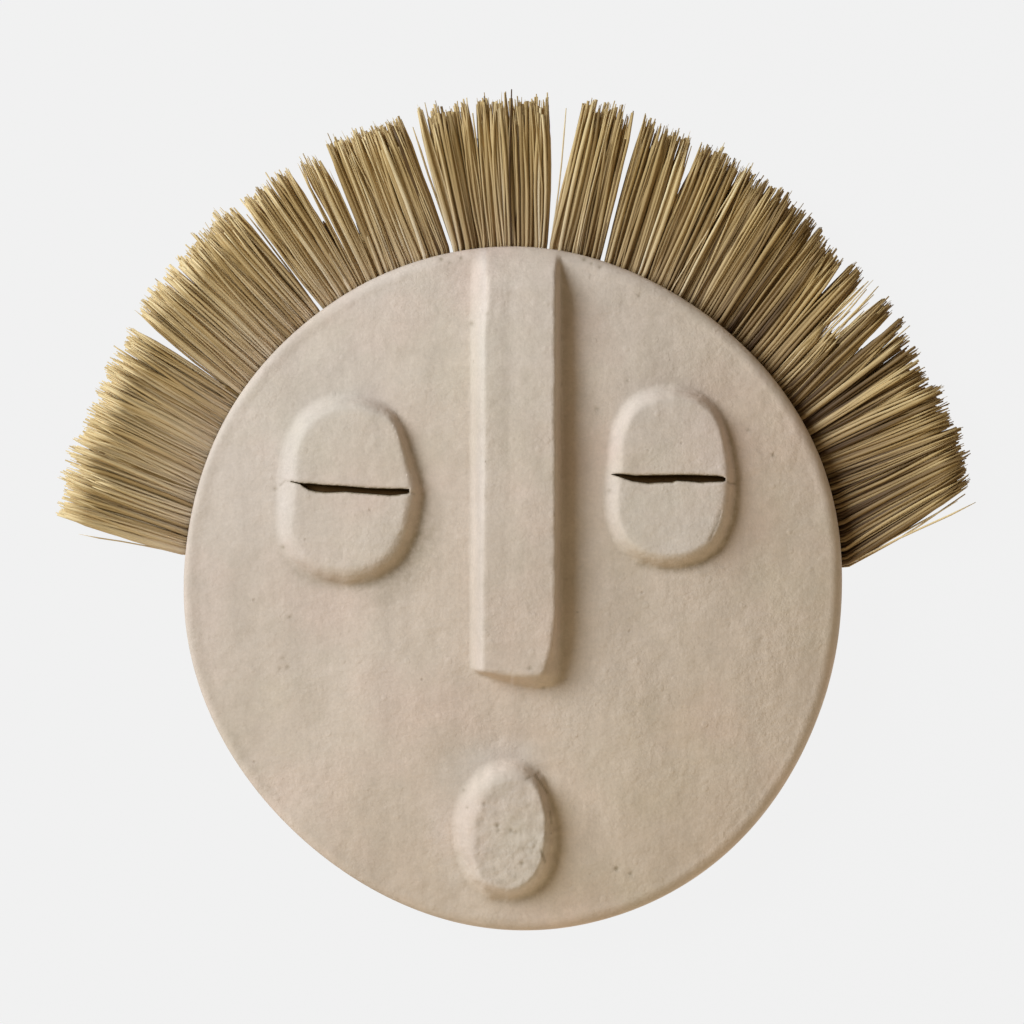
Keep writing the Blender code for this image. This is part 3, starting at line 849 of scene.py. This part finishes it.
# The hair is a fan of stiff straw, broom grass or split palm leaf, gathered into flat tufts whose ends are
# pushed into the groove of the rim and glued. The straws lean and cross a little, and their ends are cut by
# eye, so that they stay ragged.
# Each bundle is (number of tufts, first and last root angle, first and last tip angle, first and last
# length out of the rim, how far out the gap beyond it stays closed), from the right round to the left.
BUNDLES = (
    (4, 3.5, 20.0, 12.5, 20.0, 0.0606, 0.0623, 1.0),
    (2, 20.0, 26.0, 20.0, 26.3, 0.0618, 0.0609, 1.0),
    (2, 26.0, 32.5, 26.4, 35.0, 0.0574, 0.0597, 0.75),
    (1, 32.6, 35.3, 35.9, 38.0, 0.0612, 0.0616, 1.0),
    (1, 35.4, 39.1, 37.2, 40.4, 0.0342, 0.0341, 1.0),
    (1, 39.2, 42.3, 41.6, 43.9, 0.0611, 0.0611, 0.75),
    (2, 42.4, 49.5, 44.5, 51.0, 0.0581, 0.0619, 1.0),
    (5, 49.5, 66.6, 51.0, 67.3, 0.0634, 0.0663, 0.72),
    (2, 66.8, 74.4, 68.2, 74.5, 0.0662, 0.0664, 0.0),
    (2, 74.9, 84.0, 75.6, 82.0, 0.0668, 0.0671, 0.0),
    (3, 84.3, 93.9, 85.7, 94.4, 0.0659, 0.0663, 0.80),
    (2, 94.0, 99.9, 95.1, 101.3, 0.0654, 0.0656, 0.0),
    (4, 100.4, 113.2, 103.2, 112.8, 0.0636, 0.0643, 0.48),
    (1, 113.4, 116.9, 114.1, 117.0, 0.0610, 0.0612, 0.60),
    (2, 117.0, 124.0, 118.0, 125.1, 0.0614, 0.0614, 0.0),
    (6, 124.6, 144.7, 126.0, 143.8, 0.0620, 0.0587, 0.32),
    (3, 145.0, 155.8, 145.5, 154.6, 0.0573, 0.0573, 1.0),
    (2, 155.8, 163.1, 154.6, 161.5, 0.0548, 0.0581, 0.90),
    (3, 163.1, 174.1, 161.7, 171.0, 0.0596, 0.0583, 0.0),
)
# Loose straws: (root angle, tip angle, length out of the rim, tone)
STRAYS = (
    (3.9, 10.6, 0.064, 0.7), (3.7, 11.8, 0.060, 0.6), (4.4, 11.2, 0.056, 0.8),
    (35.6, 37.6, 0.048, 0.8), (36.2, 38.4, 0.052, 0.8), (36.9, 39.2, 0.060, 0.8),
    (37.3, 39.9, 0.052, 0.6), (38.1, 40.6, 0.064, 0.8), (38.4, 40.2, 0.050, 0.5),
    (38.8, 41.0, 0.059, 0.7), (37.6, 39.6, 0.044, 0.7), (36.4, 38.1, 0.042, 0.6),
    (38.2, 40.0, 0.038, 0.5), (37.0, 38.6, 0.036, 0.7), (35.9, 37.9, 0.054, 0.7),
    (36.1, 37.6, 0.038, 0.6), (35.8, 38.2, 0.060, 0.7), (36.0, 38.6, 0.043, 0.5),
    (36.5, 38.8, 0.056, 0.8), (36.8, 39.6, 0.064, 0.6), (37.1, 38.9, 0.039, 0.4),
    (37.5, 39.4, 0.047, 0.8), (37.8, 40.2, 0.059, 0.7), (38.0, 40.9, 0.062, 0.8),
    (38.3, 39.9, 0.042, 0.5), (38.6, 41.2, 0.056, 0.8), (38.9, 40.6, 0.045, 0.3),
    (44.6, 44.2, 0.050, 0.7), (67.0, 68.0, 0.064, 0.6), (83.9, 83.6, 0.065, 0.95),
    (94.8, 94.9, 0.062, 0.7), (99.8, 102.3, 0.060, 0.8), (113.5, 115.8, 0.059, 0.7),
    (113.6, 114.8, 0.062, 0.8), (113.8, 113.6, 0.054, 0.6), (125.0, 125.4, 0.056, 0.7),
    (174.0, 172.8, 0.050, 0.9), (90.0, 90.1, 0.072, 0.0), (89.4, 89.7, 0.061, 0.0),
    (88.8, 89.3, 0.056, 0.05), (89.9, 88.6, 0.050, 0.0), (88.3, 88.8, 0.059, 0.1),
    (58.0, 60.5, 0.070, 0.7), (62.0, 61.0, 0.069, 0.8), (30.5, 33.6, 0.065, 0.7),
    (27.5, 30.2, 0.063, 0.8), (22.4, 24.0, 0.065, 0.8), (17.0, 18.6, 0.065, 0.7),
    (108.0, 110.5, 0.068, 0.8), (131.0, 130.0, 0.065, 0.7), (150.0, 148.6, 0.061, 0.8),
    (158.0, 157.2, 0.060, 0.6),
)
STRAY_RADIUS = 0.00044
TUFT_TIP_THICK = 0.0088
TUFT_EXIT = 0.0010
FIT_GAP = 0.0003
STRAWS_IN_TUFT = 92
CLUMP_SHARE = 0.62
LOOSE_TUFTS = ("straw_tuft_32",)
LOOSE_TUFT_STRAWS = 34
GAP_STRAWS = 9
SPILL = 0.07
STRAW_INSET = 0.0011
LONG_STRAW_RADIUS = 0.00045
STRAW_SPANS = 6
STRAW_SIDES = 5
HAIR_SEED = 11

straw_bm = bmesh.new()
bmesh.ops.create_circle(straw_bm, cap_ends=True, radius=1.0, segments=STRAW_SIDES)
ends = straw_bm.faces[:]
for span in range(STRAW_SPANS):
    raised_end = bmesh.ops.extrude_face_region(straw_bm, geom=ends)["geom"]
    ends = [item for item in raised_end if isinstance(item, bmesh.types.BMFace)]
    top_verts = [item for item in raised_end if isinstance(item, bmesh.types.BMVert)]
    bmesh.ops.translate(straw_bm, verts=top_verts, vec=(0, 0, 1 / STRAW_SPANS))
bmesh.ops.recalc_face_normals(straw_bm, faces=straw_bm.faces[:])
STRAW_SHAPE = [vert.co.copy() for vert in straw_bm.verts]
straw_mesh = bpy.data.meshes.new("one_straw")
straw_bm.to_mesh(straw_mesh)
straw_bm.free()


def tuft_side(root, tip, length):
    """One edge of a tuft: its end in the groove, where it leaves the rim, and its free end."""
    start = polar(outline(root) - GROOVE_DEPTH + FIT_GAP, root)
    return start, polar(outline(root) + TUFT_EXIT, root), polar(outline(tip) + length, tip)


def along_side(side, way):
    """A place on a side, a share of the way from the groove to the free end, which may be passed."""
    start, leaves, end = side
    inner = (leaves - start).length
    outer = (end - leaves).length
    gone = way * (inner + outer)
    if gone < inner:
        return start.lerp(leaves, gone / inner)
    return leaves.lerp(end, (gone - inner) / outer)


def lay_straw(verts, layers, painted_tip_light, sides, share, heights, reach, radius, bow, tone, chance):
    """Bends one plain straw along the tuft and gives it its own tone."""
    first_side, last_side = sides
    flat = chance.uniform(0.45, 1.0)
    twist = chance.uniform(0, math.tau)
    tip_width = chance.uniform(0.10, 0.75)
    waver = chance.uniform(0, 100)
    stations = []
    for level in range(STRAW_SPANS + 1):
        gone = level / STRAW_SPANS
        way = gone * reach
        lean = smoothstep((way - 0.10) / 0.9) * 0.6 + way * 0.4
        across = share[0] + (share[1] - share[0]) * lean
        spot = along_side(first_side, way).lerp(along_side(last_side, way), across)
        ahead = along_side(first_side, way + 0.02).lerp(along_side(last_side, way + 0.02), across)
        forward = (ahead - spot).normalized()
        aside = Vector((-forward.y, forward.x, 0.0))
        drift = bow * math.sin(math.pi * gone) + 0.0008 * noise.noise(Vector((way * 3, waver, 0))) * gone
        spot += aside * drift
        spot.z = heights[0] + (heights[1] - heights[0]) * lean
        stations.append((spot, aside, radius * (tip_width if level == STRAW_SPANS else 1.0)))
    for vert, shape in zip(verts, STRAW_SHAPE):
        spot, aside, width = stations[round(shape.z * STRAW_SPANS)]
        angle = math.atan2(shape.y, shape.x) + twist
        vert.co = spot + aside * (width * math.cos(angle)) + Vector((0, 0, flat * width * math.sin(angle)))
        vert[layers[0]] = (tone, shape.z, math.cos(angle))
        vert[layers[1]] = painted_tip_light * shape.z * abs(shape.z)


# Colours of the straw from the darkest to the palest stem, and what they are multiplied by along a stem
STRAW_TONES = (
    (0.00, (0.074, 0.036, 0.012)), (0.18, (0.245, 0.150, 0.062)), (0.45, (0.450, 0.305, 0.142)),
    (0.72, (0.610, 0.442, 0.234)), (0.90, (0.730, 0.560, 0.340)), (1.00, (0.810, 0.655, 0.440)),
)
ROOT_WASH = (1.01, 0.99, 1.02)
TIP_WASH = (1.03, 1.00, 0.87)


def straw_material():
    """Dried straw: tan to olive-brown from stem to stem, with painted light, streaked lengthwise, paler at
    the ends.
    """
    mat = bpy.data.materials.new("straw_dried")
    mat.use_nodes = True
    tree = mat.node_tree
    stem = add_node(tree, "ShaderNodeAttribute", attribute_name="stem").outputs["Vector"]
    parts = add_node(tree, "ShaderNodeSeparateXYZ", in_0=stem).outputs
    shift = add_node(tree, "ShaderNodeAttribute", attribute_name="painted_tip_light").outputs["Fac"]
    # The straw's tone, with painted light at its tip
    tone_with_painted_tip_light = add_node(tree, "ShaderNodeMath", operation="ADD", in_0=parts[0], in_1=shift).outputs[0]
    ramp = add_node(tree, "ShaderNodeValToRGB", Fac=tone_with_painted_tip_light)
    colours = ramp.color_ramp.elements
    for element, (at, colour) in zip(colours, (STRAW_TONES[0], STRAW_TONES[-1])):
        element.position = at
        element.color = (*colour, 1.0)
    for at, colour in STRAW_TONES[1:-1]:
        colours.new(at).color = (*colour, 1.0)
    stretched = add_node(
        tree, "ShaderNodeVectorMath", operation="MULTIPLY", in_0=stem, in_1=(90.0, 2.2, 1.6),
    ).outputs[0]
    streak = add_node(
        tree, "ShaderNodeTexNoise", Scale=2.2, Detail=3.0, Roughness=0.6, Vector=stretched,
    ).outputs["Fac"]
    shade = add_node(
        tree, "ShaderNodeMapRange", in_0=streak, in_1=0.28, in_2=0.72, in_3=0.78, in_4=1.18,
    ).outputs["Result"]
    streaked = add_node(
        tree, "ShaderNodeVectorMath", operation="SCALE", in_0=ramp.outputs["Color"], Scale=shade,
    ).outputs[0]
    weathered = add_node(tree, "ShaderNodeMapRange", in_0=parts[1], in_1=0.15, in_2=0.75).outputs["Result"]
    wash = add_node(tree, "ShaderNodeMix", data_type="RGBA", blend_type="MIX")
    tree.links.new(weathered, wash.inputs[0])
    wash.inputs[6].default_value = (*ROOT_WASH, 1.0)
    wash.inputs[7].default_value = (*TIP_WASH, 1.0)
    tip = add_node(tree, "ShaderNodeMix", data_type="RGBA", blend_type="MULTIPLY")
    tip.inputs[0].default_value = 1.0
    tree.links.new(streaked, tip.inputs[6])
    tree.links.new(wash.outputs[2], tip.inputs[7])
    shader = tree.nodes["Principled BSDF"]
    tree.links.new(tip.outputs[2], shader.inputs["Base Color"])
    shader.inputs["Roughness"].default_value = 0.6
    shader.inputs["Specular IOR Level"].default_value = 0.35
    bump = add_node(tree, "ShaderNodeBump", Strength=0.5, Distance=0.0003, Height=streak)
    tree.links.new(bump.outputs["Normal"], shader.inputs["Normal"])
    return mat


def straw_width(chance):
    """Half the width of one straw: thin hairs, plain stems and a few broad split leaves."""
    kind = chance.random()
    if kind < 0.25:
        return chance.uniform(0.00034, 0.00050)
    if kind < 0.80:
        return chance.uniform(0.00052, 0.00082)
    return chance.uniform(0.00082, 0.00118)


def tuft_piece(name, sides, closed, painted_light_tone, painted_tip_light, strays, chance, mat):
    """One tuft: small clumps and single straws side by side between its two sides, and the loose ones."""
    first_side, last_side = sides
    # Each plan is (sides, places across at root and tip, heights, reach, radius, bow, tone)
    plans = []
    across_root = (last_side[1] - first_side[1]).length
    middle = GROOVE_LIP + GROOVE_HEIGHT / 2
    clumps = []
    at = 0.0
    while at < 0.93:
        width = chance.uniform(0.10, 0.34)
        clumps.append((
            at + width / 2, width, chance.gauss(0, 0.07), chance.gauss(0, 0.12), chance.uniform(-0.2, 0.15),
            chance.gauss(0, 0.018),
        ))
        at += width
    least = -SPILL if closed[0] >= 1.0 else 0.07
    most = 1 + SPILL if closed[1] >= 1.0 else 0.93
    for number in range(LOOSE_TUFT_STRAWS if name in LOOSE_TUFTS else STRAWS_IN_TUFT):
        radius = straw_width(chance)
        if number < STRAWS_IN_TUFT * CLUMP_SHARE:
            centre, width, lean, shade, lift, longer = clumps[number % len(clumps)]
            turn, out = chance.uniform(0, math.tau), math.sqrt(chance.random())
            root = centre / at + 0.46 * width / at * out * math.cos(turn)
            tip = root + lean + chance.gauss(0, 0.035 if chance.random() < 0.80 else 0.16)
            level = 0.30 + 0.62 * out * math.sin(turn) + lift
            tone = 0.58 + shade + chance.gauss(0, 0.15)
        else:
            root = chance.random()
            tip = root + chance.gauss(0, 0.10)
            level = chance.uniform(-1, 0.45)
            tone = 0.46 + chance.gauss(0, 0.18)
            longer = 0.0
        low = radius / across_root
        root = min(max(root, least + low - 0.02), most - low + 0.02)
        tip = min(max(tip, least), most)
        level = min(max(level, -1.0), 1.0)
        heights = (
            middle + level * (GROOVE_HEIGHT / 2 - STRAW_INSET),
            middle + level * TUFT_TIP_THICK / 2 + chance.uniform(-0.0012, 0.0012),
        )
        cut = chance.random()
        if cut < 0.70:
            reach = 1 + longer + chance.uniform(-0.050, 0.022)
        elif cut < 0.90:
            reach = 1 + longer - chance.uniform(0.03, 0.17)
        else:
            reach = 1 + longer + chance.uniform(0.01, 0.045)
            radius = min(radius, LONG_STRAW_RADIUS)
        plans.append((
            sides, (root, tip), heights, reach, radius, chance.gauss(0, 0.0009),
            min(max(tone + painted_light_tone, 0.0), 1.0),
        ))
    for side, shut in zip((0.0, 1.0), closed):
        for number in range(GAP_STRAWS if 0 < shut < 1 else 0):
            root = side + chance.uniform(-0.09, 0.05) * (1 - 2 * side)
            level = chance.uniform(-0.8, 0.5)
            height = middle + level * (GROOVE_HEIGHT / 2 - STRAW_INSET)
            across = (root, root + chance.gauss(0, 0.02))
            reach = shut * chance.uniform(0.72, 1.03)
            plans.append((
                sides, across, (height, height), reach, straw_width(chance), chance.gauss(0, 0.0003),
                min(max(0.3 + chance.gauss(0, 0.2), 0.0), 1.0),
            ))
    for root, tip, length, tone in strays:
        side = tuft_side(root, tip, length)
        height = middle + chance.uniform(0.0, 0.0035)
        plans.append((
            (side, side), (0.0, 0.0), (height, height), 1.0, STRAY_RADIUS * chance.uniform(0.7, 1.2),
            chance.gauss(0, 0.0008), tone,
        ))
    bm = bmesh.new()
    for plan in plans:
        bm.from_mesh(straw_mesh)
    bm.verts.ensure_lookup_table()
    layers = bm.verts.layers.float_vector.new("stem"), bm.verts.layers.float.new("painted_tip_light")
    count = len(STRAW_SHAPE)
    for number, plan in enumerate(plans):
        lay_straw(bm.verts[number * count:(number + 1) * count], layers, painted_tip_light, *plan, chance)
    bmesh.ops.translate(bm, verts=bm.verts[:], vec=MIDDLE)
    return finish_mesh(name, bm, mat)


# Painted light: the straws are painted paler on the left of the fan, towards the lamp, and darker on the
# right, in shade: the most that the tone changes over a whole straw and, besides, towards its tip, for each
# half
LIT_SIDE_TONE = 0.38
LIT_SIDE_TIP_TONE = 0.13
SHADE_TONE = 0.54
SHADE_TIP_TONE = 0.24


def hair():
    """All tufts in turn; one chance serves them all, so their order matters."""
    chance = random.Random(HAIR_SEED)
    mat = straw_material()
    number = 0
    before = 0.0
    for count, root_a, root_b, tip_a, tip_b, length_a, length_b, beyond in BUNDLES:
        for step in range(count):
            sides = []
            for share in (step / count, (step + 1) / count):
                sides.append(tuft_side(
                    root_a + (root_b - root_a) * share, tip_a + (tip_b - tip_a) * share,
                    length_a + (length_b - length_a) * share,
                ))
            low, high = (root_a + (root_b - root_a) * (step + part) / count for part in (0, 1))
            near = [stray for stray in STRAYS if low <= stray[0] < high]
            closed = (before if step == 0 else 1.0, beyond if step == count - 1 else 1.0)
            # Painted light: paler on the left, towards the lamp, darker on the right, in shade; the tips
            # the other way
            facing = math.cos(math.radians((low + high) / 2))
            reach, tip_reach = (LIT_SIDE_TONE, LIT_SIDE_TIP_TONE) if facing < 0 else (SHADE_TONE, SHADE_TIP_TONE)
            painted_light_tone, painted_tip_light = 0.04 - reach * facing, tip_reach * facing
            number += 1
            name = "straw_tuft_%02d" % number
            piece = tuft_piece(name, sides, closed, painted_light_tone, painted_tip_light, near, chance, mat)
            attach(piece, "root")
            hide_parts("hair_tuft_%02d" % number)
        before = beyond


hair()
bpy.data.meshes.remove(straw_mesh)
